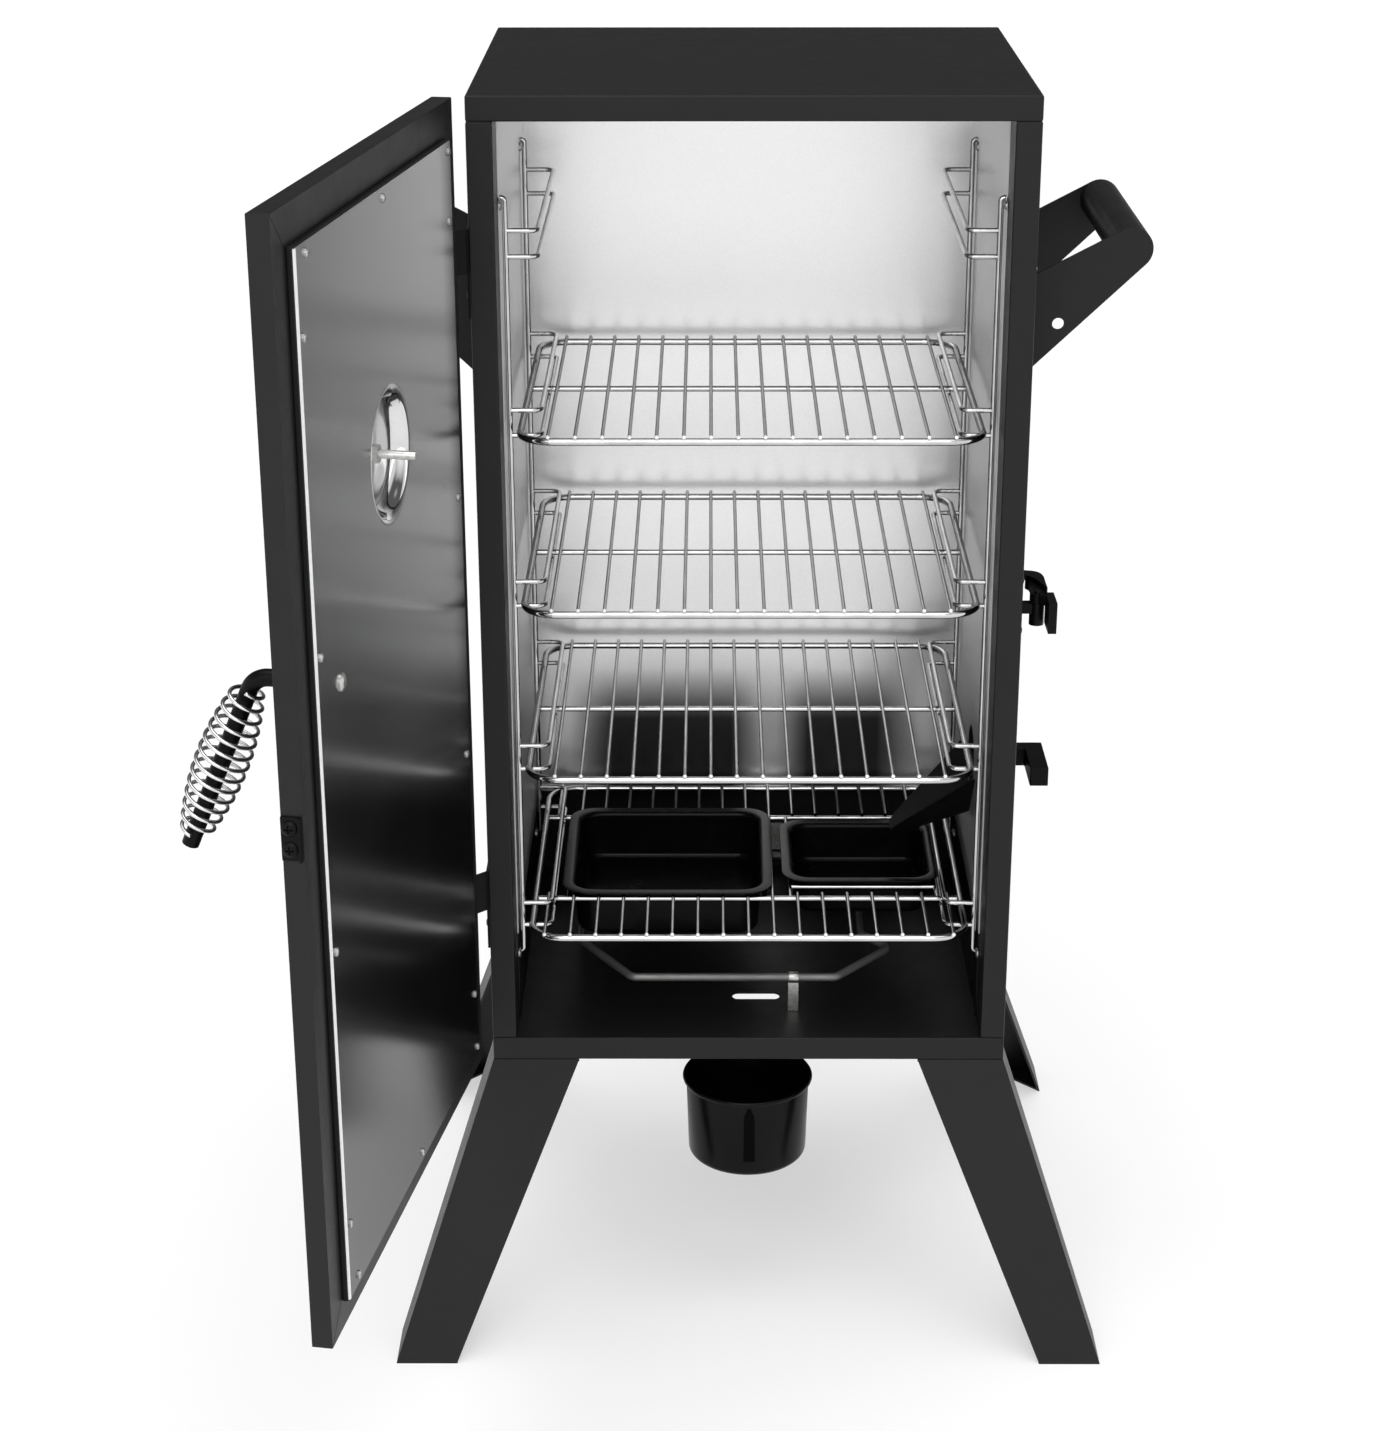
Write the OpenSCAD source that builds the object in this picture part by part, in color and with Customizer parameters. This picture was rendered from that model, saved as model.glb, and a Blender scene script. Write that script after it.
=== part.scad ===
// Electric cabinet smoker on four splayed legs, with its door standing open.
// Millimetres. +Z is up, the door is on the -Y side, and the origin is on the floor
// under the middle of the cabinet.

/* [Cabinet] */
// Outside width of the cabinet
cab_w = 410; // [360:1:460]
// Outside depth of the cabinet
cab_d = 342; // [320:1:400]
// Height of the cabinet without its legs
cab_h = 768; // [740:1:800]
// Height of the base underside above the floor
leg_h = 235; // [200:1:260]
// Sheet thickness of the outer casing
shell_t = 1.5; // [1:0.1:2]
// Sheet thickness of the bright liner
liner_t = 1; // [0.8:0.1:1.5]
// Width of the front face beside the opening
jamb_w = 19; // [15:0.5:24]
// Depth of the painted return behind each jamb
jamb_return = 40; // [30:1:50]
// Height of the skirt of the top cap
cap_h = 18.4; // [15:0.2:24]
// Height of the base rail
rail_h = 19.4; // [15:0.2:24]
// Height of the black lower liner above the base underside
lower_h = 94; // [80:1:110]
// Gap between the rear liner and the back of the casing
rear_gap = 10; // [8:0.5:14]

/* [Legs] */
// How far each foot stands out sideways and endways from the cabinet
leg_splay = 79.5; // [60:0.5:90]
// Width of a leg flange at the top
leg_top_w = 69; // [60:1:80]
// Width of a leg flange at the floor
leg_foot_w = 49; // [40:1:60]
// Sheet thickness of a leg
leg_t = 2; // [1.5:0.1:3]

/* [Door] */
// Angle at which the door stands open
door_open = 99.7; // [90:0.1:110]
// Thickness of the door pan
door_t = 14.3; // [12:0.1:20]
// Height of the door's lower edge above the base underside
door_low = 16.4; // [10:0.2:20]
// Height of the door's upper edge above the base underside
door_high = 771.4; // [750:0.2:780]
// Width of the flange round the inner side of the door
door_flange = 27; // [20:0.5:35]
// Height of the raised frame that carries the door liner
frame_rise = 4; // [3:0.5:6]
// Gap between the closed door and the cabinet
door_gap = 3; // [2:0.1:5]

/* [Racks] */
// Number of levels in the rack supports
levels = 5; // [3:1:6]
// Height of the lowest support wire above the base underside
level_0 = 99.5; // [90:0.5:110]
// Distance between levels
level_step = 136; // [120:1:150]
// Height of the upper guide wire above the support wire of its level
guide_gap = 19.4; // [18:0.2:26]
// Radius of a grate frame bar
frame_r = 2.8; // [2:0.1:4]
// Radius of a thin grate wire
wire_r = 1.4; // [1:0.1:2]
// Width of a grate between bar centres
grate_w = 346.6; // [330:0.2:352]
// Depth of a grate between bar centres
grate_d = 305; // [290:1:310]

/* [Hidden] */
$fn = 48;
xo = cab_w / 2;
xi = xo - jamb_w;
yf = -cab_d / 2;
yb = cab_d / 2;
z0 = leg_h;
z1 = leg_h + cab_h;
side_z0 = z0 + rail_h;
side_z1 = z1 - cap_h;
lower_z1 = z0 + lower_h;
ceiling_z = side_z1;
liner_x = xi;
liner_yb = yb - rear_gap;
liner_yf = yf + jamb_return - 2;

// rack supports
rod_r = 2.2;
guide_r = 1.9;
rod_x = 181.6;
guide_x = 158.1;
rod_yf = yf + 43;
rod_yb = yf + 282;
rod_z0 = z0 + 77;
rod_z1 = z0 + 687;
grate_x = grate_w / 2;
grate_yf = yf + 8;
grate_yb = grate_yf + grate_d;
grate_lift = guide_r + frame_r + 0.1;
corner_r = 26;

// pans and their rack
rim_t = 1.2;
pan_rim_z = z0 + level_0 + grate_lift + frame_r + 2 * wire_r + 0.2;
water_x = [-152, 20.5];
water_y = [yf + 77, yf + 253];
chip_x = [28.5, 160];
chip_y = [yf + 101, yf + 228];
rack_front_bar = yf + 82;
rack_rear_bar = yf + 247;
chip_front_bar = yf + 105;
chip_rear_bar = yf + 222;

// chip loader and chute
load_y = yf + 150.6;
load_z = z0 + 202.8;
sleeve_r = 26;
sleeve_bore = 24.6;
scoop_r = 24;
scoop_x = 186.4;
handle_x = 243.5;
fold_tip = [121.2, load_y, z0 + 130.1];
fold_wall_z = z0 + 152.9;

// door frame of reference: built closed, then swung open about its hinge pins
door_yi = yf - door_gap;
door_yo = door_yi - door_t;
door_z0 = z0 + door_low;
door_z1 = z0 + door_high;
pin_x = -xo - 13.6;
pin_y = yf - 12.5;
pin_r = 2.5;
knuckle_r = 5.5;
hinge_h = 66;
hinge_z = [z0 + 99, z0 + 607];
skin_t = 1.2;
plate_x = 178;
plate_z = [z0 + 37.5, z0 + 746.5];
plate_y = door_yi + frame_rise;
bolt_x = 130;
bolt_z = z0 + 461;
gauge_x = -2;
gauge_z = z0 + 571.5;
dish_r = 45;
dish_depth = 13;

// side handles
grab_y = [yf + 76, yf + 266];
grab_t = 2.5;
grab_end = [284.2, z0 + 642];
grab_r = 16;
grab_top = z0 + 618.4;
grab_low = z0 + 543.8;

// latch
latch_x = 219.3;
latch_y = yf + 30;
latch_z = z0 + 361.5;

// grease cup
cup_y = yf + 43;
cup_z = z0 - 35;
cup_h = 71;
cup_r = 50.3;

// element
element_r = 3.3;
element_z = z0 + 50;
term_x = [-40, 20];

// ---------- shared shapes ----------

// A box from its lowest to its highest corner.
module block(low, high) {
  translate(low)
    cube(high - low);
}

// A round bar between two points of the XY plane.
module bar(p, q, r) {
  d = q - p;
  translate([p.x, p.y, 0])
    rotate([0, 0, atan2(d.y, d.x)])
      rotate([0, 90, 0])
        cylinder(r = r, h = norm(d));
}

function unit(v) = v / norm(v);
function turn(a, b, c) =
  let (u = unit(b - a), v = unit(c - b))
  atan2(u.x * v.y - u.y * v.x, u.x * v.x + u.y * v.y);
function trim(p, i, n, bend) =
  bend * tan(abs(turn(p[(i + n - 1) % n], p[i], p[(i + 1) % n])) / 2);

// A bent round wire in the XY plane through the points p; closed joins its ends.
// With a lap, each straight length is a hair thinner and runs that far into its bends.
module wire(p, r, bend, closed = false, lap = 0) {
  n = len(p);
  last = closed ? n - 1 : n - 2;
  thin = lap > 0 ? 0.03 : 0;
  for (i = [0 : last]) {
    j = (i + 1) % n;
    u = unit(p[j] - p[i]);
    a = closed || i > 0 ? trim(p, i, n, bend) - lap : 0;
    b = closed || j < n - 1 ? trim(p, j, n, bend) - lap : 0;
    bar(p[i] + u * a, p[j] - u * b, r - thin);
  }
  for (i = [closed ? 0 : 1 : closed ? n - 1 : n - 2]) {
    before = p[(i + n - 1) % n];
    angle = turn(before, p[i], p[(i + 1) % n]);
    u = unit(p[i] - before);
    side = angle > 0 ? 1 : -1;
    start = p[i] - u * trim(p, i, n, bend);
    centre = start + side * bend * [-u.y, u.x];
    from = atan2(start.y - centre.y, start.x - centre.x);
    translate([centre.x, centre.y, 0])
      rotate([0, 0, angle > 0 ? from : from + angle])
        rotate_extrude(angle = abs(angle))
          translate([bend, 0])
            circle(r = r);
  }
}

// A domed cross-head screw with its head standing on the plane z = 0.
module screw(r, h) {
  dome = r * 1.6;
  difference() {
    intersection() {
      cylinder(r = r, h = h);
      translate([0, 0, h - dome])
        sphere(r = dome);
    }
    for (a = [0, 90])
      rotate([0, 0, a])
        translate([-r * 0.55, -r * 0.1, h * 0.45])
          cube([r * 1.1, r * 0.2, h]);
  }
}

// A rounded rectangle between two corners, thickness h.
module rounded(x, y, r, h) {
  block([x[0] + r, y[0], 0], [x[1] - r, y[1], h]);
  block([x[0], y[0] + r, 0], [x[1], y[1] - r, h]);
  for (cx = [x[0] + r, x[1] - r])
    for (cy = [y[0] + r, y[1] - r])
      translate([cx, cy, 0])
        cylinder(r = r, h = h);
}

// ---------- casing ----------

// The right side panel: side, front jamb with its return, and rear flange in one sheet.
module side_panel() {
  color("#2b2b2d")
    difference() {
      translate([0, 0, side_z0])
        linear_extrude(side_z1 - side_z0)
          polygon([
            [xo, yf],
            [xo, yb],
            [xi, yb],
            [xi, yb - shell_t],
            [xo - shell_t, yb - shell_t],
            [xo - shell_t, yf + shell_t],
            [xi + shell_t, yf + shell_t],
            [xi + shell_t, yf + jamb_return],
            [xi, yf + jamb_return],
            [xi, yf]
          ]);
      children();
    }
}

module loader_hole() {
  translate([liner_x - 4, load_y, load_z])
    rotate([0, 90, 0])
      cylinder(r = sleeve_r, h = 40);
}

module side_panel_left() {
  mirror([1, 0, 0])
    side_panel();
}

module side_panel_right() {
  side_panel()
    loader_hole();
}

module rear_panel() {
  color("#2b2b2d")
    difference() {
      block([-xo + shell_t, yb - 2 * shell_t, side_z0], [xo - shell_t, yb - shell_t, side_z1]);
      element_holes();
    }
}

module top_cap() {
  lip = side_z1 + shell_t;
  color("#2b2b2d")
    union() {
      difference() {
        block([-xo, yf, side_z1], [xo, yb, z1]);
        block(
          [-xo + shell_t, yf + shell_t, side_z1 - 1],
          [xo - shell_t, yb - shell_t, z1 - shell_t]
        );
      }
      block([-xi, yf, side_z1], [xi, yf + jamb_return, lip]);
    }
}

module base_pan() {
  flange = 22;
  slot_x = 7;
  slot_y = yf + 74.3;
  slot_r = 5.4;
  slot_half = 14.1;
  color("#232325")
    difference() {
      block([-xo, yf, z0], [xo, yb, z0 + rail_h]);
      block(
        [-xo + shell_t, yf + shell_t, z0 + shell_t],
        [xo - shell_t, yb - shell_t, z0 + rail_h - shell_t]
      );
      block([-xo + flange, yf + flange, z0 - 1], [xo - flange, yb - flange, z0 + 2]);
      for (x = [slot_x - slot_half, slot_x + slot_half])
        translate([x, slot_y, z0 + 10])
          cylinder(r = slot_r, h = 20);
      block(
        [slot_x - slot_half, slot_y - slot_r, z0 + 10],
        [slot_x + slot_half, slot_y + slot_r, z0 + 30]
      );
      at_leg_bolts()
        cylinder(r = 2.6, h = 4, center = true);
    }
}

// ---------- liners ----------

module liner_side() {
  block([liner_x - liner_t, liner_yf, lower_z1], [liner_x, liner_yb + liner_t, ceiling_z - liner_t]);
}

module liner_left() {
  color("#c9ccd0")
    mirror([1, 0, 0])
      liner_side();
}

module liner_right() {
  color("#c9ccd0")
    difference() {
      liner_side();
      loader_hole();
    }
}

module liner_rear() {
  x = liner_x - liner_t;
  color("#c9ccd0")
    block([-x, liner_yb, lower_z1], [x, liner_yb + liner_t, ceiling_z - liner_t]);
}

module liner_ceiling() {
  color("#c9ccd0")
    block([-liner_x, liner_yf, ceiling_z - liner_t], [liner_x, liner_yb + liner_t, ceiling_z]);
}

module lower_liner() {
  color("#161617")
    difference() {
      block([-liner_x, liner_yf, side_z0], [liner_x, liner_yb + liner_t, lower_z1]);
      block(
        [-liner_x + liner_t, liner_yf - 1, side_z0 - 1],
        [liner_x - liner_t, liner_yb, lower_z1 + 1]
      );
      element_holes();
    }
}

module element_holes() {
  for (x = term_x)
    translate([x, liner_yb - 5, element_z])
      rotate([-90, 0, 0])
        cylinder(r = element_r + 0.3, h = 40);
}

// The blanket between casing and liner: a wrap round three sides, and a pad on the ceiling.
module insulation() {
  gap = 0.5;
  outer_x = xo - shell_t - gap;
  inner_x = liner_x + shell_t + gap;
  color("#d9c98a") {
    difference() {
      block([-outer_x, yf + 3, side_z0 + 1], [outer_x, yb - 2 * shell_t - gap, side_z1 - 1]);
      block(
        [-inner_x, yf - 1, side_z0 - 1],
        [inner_x, liner_yb + liner_t + gap, side_z1 + 1]
      );
      element_holes();
      translate([liner_x - 4, load_y, load_z])
        rotate([0, 90, 0])
          cylinder(r = sleeve_r + 1, h = 40);
    }
    block([-outer_x + 1, yf + 44, ceiling_z + 2], [outer_x - 1, yb - 4, z1 - shell_t - gap]);
  }
}

// ---------- legs ----------

// The front right leg: two leaning flanges that meet at the outer corner, a mounting
// plate under the base and a foot plate on the floor.
module leg() {
  sx = leg_t * norm([leg_splay, leg_h]) / leg_h;
  long = 400;
  top_in = xo - leg_top_w;
  foot_out = xo + leg_splay;
  foot_in = foot_out - leg_foot_w;
  color("#2b2b2d")
    union() {
      // flange that faces the front
      intersection() {
        lean_y(-yf)
          polygon([
            [0, leg_h],
            [-sx, leg_h],
            [leg_splay - sx, 0],
            [leg_splay, 0]
          ]);
        lean_x(0)
          polygon([
            [top_in, leg_h],
            [xo, leg_h],
            [foot_out, 0],
            [foot_in, 0]
          ]);
      }
      // flange that faces the side
      intersection() {
        lean_x(xo)
          polygon([
            [0, leg_h],
            [-sx, leg_h],
            [leg_splay - sx, 0],
            [leg_splay, 0]
          ]);
        lean_y(0)
          polygon([
            [-yf - leg_top_w, leg_h],
            [-yf, leg_h],
            [-yf + leg_splay, 0],
            [-yf + leg_splay - leg_foot_w, 0]
          ]);
      }
      difference() {
        translate([0, 0, leg_h - leg_t])
          corner_plate(xo, -yf, leg_top_w, leg_t);
        for (p = bolt_places)
          translate([p.x, p.y, leg_h - 1])
            cylinder(r = 2.6, h = 4, center = true);
      }
      corner_plate(foot_out - 0.7, -yf + leg_splay - 0.7, leg_foot_w, leg_t);
    }
}

bolt_places = [[xo - 40, yf + 11], [xo - 11, yf + 40]];

// A profile drawn as [outward in X, up], run along Y.
module lean_x(x) {
  translate([x, 300, 0])
    rotate([90, 0, 0])
      linear_extrude(600)
        children();
}

// A profile drawn as [outward in -Y, up], run along X.
module lean_y(y) {
  translate([0, -y, 0])
    rotate([90, 0, -90])
      translate([0, 0, -400])
        linear_extrude(800)
          children();
}

// A triangular plate in the corner at x, -y.
module corner_plate(x, y, w, t) {
  linear_extrude(t)
    polygon([
      [x, -y],
      [x, -y + w],
      [x - w, -y]
    ]);
}

module leg_front_right() {
  leg();
}

module leg_front_left() {
  mirror([1, 0, 0])
    leg();
}

module leg_rear_right() {
  mirror([0, 1, 0])
    leg();
}

module leg_rear_left() {
  mirror([1, 0, 0])
    mirror([0, 1, 0])
      leg();
}

module at_leg_bolts() {
  for (a = [0, 1])
    for (b = [0, 1])
      mirror([a, 0, 0])
        mirror([0, b, 0])
          for (p = bolt_places)
            translate([p.x, p.y, leg_h])
              children();
}

module leg_bolts() {
  color("#8d9095")
    at_leg_bolts() {
      translate([0, 0, -leg_t - 3])
        cylinder(r = 4.6, h = 3, $fn = 6);
      translate([0, 0, -leg_t])
        cylinder(r = 2.5, h = leg_t + shell_t + 5);
      translate([0, 0, shell_t])
        cylinder(r = 4.6, h = 3, $fn = 6);
    }
}

// ---------- rack supports and grates ----------

// The right rack support: two hooked rods, and a pair of bent wires at each level.
module rack_support() {
  hook = liner_x - liner_t;
  color("#d4d6da") {
    for (y = [rod_yf, rod_yb])
      translate([0, y, 0])
        rotate([90, 0, 0])
          wire([[hook, rod_z0], [rod_x, rod_z0], [rod_x, rod_z1], [hook, rod_z1]], rod_r, 2.4);
    for (i = [0 : levels - 1])
      for (up = [0, guide_gap])
        translate([0, 0, z0 + level_0 + i * level_step + up])
          wire(
            [[rod_x, rod_yf], [guide_x, rod_yf], [guide_x, rod_yb], [rod_x, rod_yb]],
            guide_r,
            7
          );
  }
}

module rack_support_right() {
  rack_support();
}

module rack_support_left() {
  mirror([1, 0, 0])
    rack_support();
}

module support_screws() {
  color("#a9acb1")
    for (side = [-1, 1])
      for (y = [rod_yf - 8.5, rod_yb - 9.5])
        for (z = [rod_z0 + 1, rod_z1 - 4])
          translate([side * (liner_x - liner_t), y, z])
            rotate([0, -side * 90, 0])
              screw(3.4, 2.4);
}

module frame_loop() {
  wire(
    [[-grate_x, grate_yf], [grate_x, grate_yf], [grate_x, grate_yb], [-grate_x, grate_yb]],
    frame_r,
    corner_r,
    closed = true
  );
}

module wires_along(xs, from, to, r) {
  for (x = xs)
    translate([x, from, frame_r + r * 0.75])
      rotate([-90, 0, 0])
        cylinder(r = r, h = to - from);
}

// A cooking grate: rounded frame, one cross bar and thin wires from front to back.
module grate(level) {
  count = 16;
  pitch = 20.2;
  first = -pitch * (count - 1) / 2;
  over = 1.6;
  translate([0, 0, z0 + level_0 + level * level_step + grate_lift])
    color("#d4d6da")
      union() {
        frame_loop();
        bar([-grate_x, (grate_yf + grate_yb) / 2], [grate_x, (grate_yf + grate_yb) / 2], 2.3);
        wires_along(
          [for (i = [0 : count - 1]) first + i * pitch],
          grate_yf - over,
          grate_yb + over,
          wire_r
        );
      }
}

module upper_grate() {
  grate(3);
}

module middle_grate() {
  grate(2);
}

module lower_grate() {
  grate(1);
}

// The lowest rack, with one opening for each pan.
module pan_rack() {
  count = 17;
  pitch = 20.3;
  first = -pitch * (count - 1) / 2;
  xs = [for (i = [0 : count - 1]) first + i * pitch];
  over = 1.6;
  edge_r = 2.3;
  left_in = water_x[0] + 5;
  left_out = water_x[1] - 6.5;
  right_in = chip_x[0] + 6.5;
  right_out = chip_x[1] - 5;
  between = [for (x = xs) if (x > left_out && x < right_in) x];
  chip_xs = [for (x = xs) if (x >= right_in) x];
  translate([0, 0, z0 + level_0 + grate_lift])
    color("#c4c6ca")
      union() {
        frame_loop();
        for (y = [rack_front_bar, rack_rear_bar])
          bar([-grate_x, y], [grate_x, y], edge_r);
        for (y = [chip_front_bar, chip_rear_bar])
          bar([right_in, y], [right_out, y], 1.9);
        wires_along([for (x = xs) if (x < left_out) x], grate_yf - over, rack_front_bar + over, wire_r);
        wires_along(between, grate_yf - over, grate_yb + over, wire_r);
        wires_along(chip_xs, grate_yf - over, rack_front_bar + over, wire_r);
        wires_along([for (x = xs) if (x < left_out) x], rack_rear_bar - over, grate_yb + over, wire_r);
        wires_along(chip_xs, rack_rear_bar - over, grate_yb + over, wire_r);
        for (x = [left_in, left_out, right_in, right_out])
          translate([x, rack_front_bar, 0])
            rotate([-90, 0, 0])
              cylinder(r = edge_r * 0.8, h = rack_rear_bar - rack_front_bar);
      }
}

// ---------- pans ----------

// A deep enamel pan that hangs by a flat rim.
module pan(x, y, rim, deep, corner) {
  wall = 1.2;
  inner_x = [x[0] + rim, x[1] - rim];
  inner_y = [y[0] + rim, y[1] - rim];
  translate([0, 0, pan_rim_z])
    difference() {
      union() {
        rounded(x, y, corner, rim_t);
        translate([0, 0, -deep])
          rounded(inner_x, inner_y, corner - rim / 2, deep);
      }
      translate([0, 0, wall - deep])
        rounded(
          inner_x + [wall, -wall],
          inner_y + [wall, -wall],
          corner - rim / 2 - wall,
          deep + rim_t
        );
    }
}

module water_pan() {
  color("#141415")
    pan(water_x, water_y, 9, 42, 22);
}

module chip_tray() {
  color("#141415")
    pan(chip_x, chip_y, 9, 34, 20);
}

// ---------- heat ----------

// The tubular element: two tails through the rear wall and one loop above the floor.
module heating_element() {
  tail = yb + 4;
  left = -140;
  right = 118;
  rear = yf + 288;
  color("#8b8d90")
    translate([0, 0, element_z])
      wire(
        [
          [term_x[0], tail],
          [term_x[0], rear],
          [left, rear],
          [left, yf + 118],
          [-94.4, yf + 47.5],
          [71.4, yf + 47.5],
          [right, yf + 101],
          [96, yf + 128],
          [96, rear],
          [term_x[1], rear],
          [term_x[1], tail]
        ],
        element_r,
        9,
        lap = 0.4
      );
}

module element_clip() {
  x = 37;
  half = 4.2;
  y = yf + 47.5;
  r = element_r + 0.1;
  t = 1.2;
  floor_z = z0 + rail_h;
  color("#b9bbbf")
    union() {
      translate([x - half, y, element_z])
        rotate([0, 90, 0])
          difference() {
            cylinder(r = r + t, h = 2 * half);
            translate([0, 0, -1])
              cylinder(r = r, h = 2 * half + 2);
          }
      block([x - half, y - 0.6, floor_z], [x + half, y + 0.6, element_z - r - 0.3]);
      block([x - half, y - 0.6, floor_z], [x + half, y + 12, floor_z + t]);
    }
}

module element_flange() {
  color("#b9bbbf")
    difference() {
      block(
        [term_x[0] - 15, liner_yb - 1.5, element_z - 13],
        [term_x[1] + 15, liner_yb, element_z + 13]
      );
      element_holes();
    }
}

inlet_x = -10;
box_x = [-66, 46];
box_z = [z0 + 28, z0 + 82];
box_y = [yb - shell_t, yb + 30];

module terminal_box() {
  t = 1.5;
  color("#2b2b2d")
    difference() {
      block([box_x[0], box_y[0], box_z[0]], [box_x[1], box_y[1], box_z[1]]);
      block(
        [box_x[0] + t, box_y[0] - 1, box_z[0] + t],
        [box_x[1] - t, box_y[1] - t, box_z[1] - t]
      );
      inlet_block(0, 10, 0);
    }
}

// The recessed socket for the cord, seen from behind.
module inlet_block(low, high, grow) {
  w = 14.2 + grow;
  h = 11.2 + grow;
  translate([inlet_x, box_y[1] - 5 + low, element_z])
    rotate([-90, 0, 0])
      linear_extrude(high - low)
        polygon([
          [-w, -h],
          [w, -h],
          [w, h - 6],
          [w - 6, h],
          [-w + 6, h],
          [-w, h - 6]
        ]);
}

module power_inlet() {
  color("#1a1a1b")
    union() {
      difference() {
        union() {
          inlet_block(-12, 5, -0.1);
          inlet_block(5, 6.5, 3);
        }
        inlet_block(-10, 8, -2.2);
      }
      for (p = [[-7, -2], [0, 3], [7, -2]])
        translate([inlet_x + p.x, box_y[1] - 16.5, element_z + p.y])
          block([-1, 0, -2.5], [1, 14, 2.5]);
    }
}

// ---------- chip loader ----------

// One wing of the chute: a flat sheet that rises from the fold, wide at the wall.
module chute_wing() {
  t = 1.2;
  slope = atan2(fold_wall_z - fold_tip.z, liner_x - fold_tip.x);
  run = norm([liner_x - fold_tip.x, fold_wall_z - fold_tip.z]);
  difference() {
    translate(fold_tip)
      rotate([0, -slope, 0])
        rotate([45, 0, 0])
          linear_extrude(t)
            polygon([
              [0, 0],
              [run + 20, 0],
              [run + 30, 76],
              [8, 19],
              [1, 13]
            ]);
    block([liner_x - liner_t, load_y - 120, z0], [liner_x + 80, load_y + 120, z1]);
    block([0, load_y - 120, z0], [liner_x + 80, load_y, z1]);
    block([0, load_y - 120, z0 + 200], [liner_x + 80, load_y + 120, z1]);
  }
}

module chip_chute() {
  color("#1d1d1f")
    union() {
      chute_wing();
      translate([0, 2 * load_y, 0])
        mirror([0, 1, 0])
          chute_wing();
    }
}

module along_x(x) {
  translate([x, load_y, load_z])
    rotate([0, 90, 0])
      children();
}

module loader_sleeve() {
  color("#2b2b2d")
    difference() {
      union() {
        along_x(liner_x - liner_t)
          cylinder(r = sleeve_r - 0.05, h = 26);
        along_x(xo)
          cylinder(r = sleeve_r + 6, h = 1.5);
      }
      along_x(liner_x - 10)
        cylinder(r = sleeve_bore, h = 60);
    }
}

// The half-round scoop, with a full plug that closes the sleeve.
module loader_scoop() {
  plug = xo - 6;
  wall = 1.2;
  color("#1d1d1f")
    union() {
      difference() {
        along_x(scoop_x)
          cylinder(r = scoop_r, h = plug + 3 - scoop_x);
        along_x(scoop_x + wall)
          cylinder(r = scoop_r - wall, h = plug - scoop_x - wall);
        block(
          [scoop_x - 1, load_y - 40, load_z],
          [plug - 0.5, load_y + 40, load_z + 40]
        );
      }
      along_x(plug + 3)
        cylinder(r = 6, h = 11);
      along_x(plug + 14)
        cylinder(r = sleeve_r + 2, h = 3);
    }
}

module loader_handle() {
  arm_y = 7;
  low = load_z - 6.5;
  high = load_z + 9;
  root = xo + 11.4;
  color("#2b2b2d")
    union() {
      block([root, load_y - arm_y, low], [handle_x, load_y + arm_y, high]);
      block([handle_x - 14.8, load_y - 50.2, low], [handle_x, load_y + arm_y, high]);
    }
}

// ---------- side handles ----------

// The right carry handle: two tapered plates with wall flanges, and a round grip.
module side_handle() {
  foot = xo + 2;
  color("#262628")
    difference() {
      union() {
        for (y = [grab_y[0], grab_y[1] - grab_t])
          translate([0, y + grab_t, 0])
            rotate([90, 0, 0])
              linear_extrude(grab_t) {
                polygon([
                  [xo, grab_low],
                  grab_end + grab_r * [sin(43.7), -cos(43.7)],
                  grab_end + grab_r * [-sin(27.9), cos(27.9)],
                  [xo, grab_top]
                ]);
                translate(grab_end)
                  circle(r = grab_r);
              }
        translate([grab_end.x, grab_y[1] - 0.5, grab_end.y])
          rotate([90, 0, 0])
            cylinder(r = grab_r, h = grab_y[1] - grab_y[0] - 1);
        block([xo, grab_y[0], grab_low], [foot, grab_y[0] + 20, grab_top]);
        block([xo, grab_y[1] - 20, grab_low], [foot, grab_y[1], grab_top]);
      }
      translate([grab_end.x, grab_y[1] - grab_t, grab_end.y])
        rotate([90, 0, 0])
          cylinder(r = grab_r - 2, h = grab_y[1] - grab_y[0] - 2 * grab_t);
      for (y = [grab_y[0] - 1, grab_y[1] - 9])
        translate([231.4, y, z0 + 585.1])
          rotate([-90, 0, 0])
            cylinder(r = 4.5, h = 10);
    }
}

module side_handle_right() {
  side_handle();
}

module side_handle_left() {
  mirror([1, 0, 0])
    side_handle();
}

// Cross-head screws of one size: side handles, latch bracket and hinge leaves.
module body_screws() {
  color("#303033") {
    for (side = [-1, 1])
      for (y = [grab_y[0] + 11.5, grab_y[1] - 11.5])
        for (z = [grab_low + 12, grab_top - 12])
          translate([side * (xo + 2), y, z])
            rotate([0, side * 90, 0])
              screw(4, 2.4);
    for (z = [latch_z - 6.5, latch_z + 34.5])
      translate([xo + 2, latch_y + 4, z])
        rotate([0, 90, 0])
          screw(4, 2.4);
    for (z = hinge_z)
      for (up = [14, hinge_h - 14])
        translate([-xo - 1.8, yf + 19, z + up])
          rotate([0, -90, 0])
            screw(4, 2.4);
  }
}

// ---------- latch ----------

module latch_bracket() {
  color("#262628")
    union() {
      block([xo, latch_y - 9, latch_z - 13.5], [xo + 2, latch_y + 15, latch_z + 41.5]);
      block([xo, latch_y - 4, latch_z + 9.5], [latch_x, latch_y + 4, latch_z + 17.5]);
      translate([latch_x, latch_y, latch_z])
        cylinder(r = 5.7, h = 17.5);
      translate([latch_x, latch_y, latch_z + 10])
        cylinder(r = 2.5, h = 17);
    }
}

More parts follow.
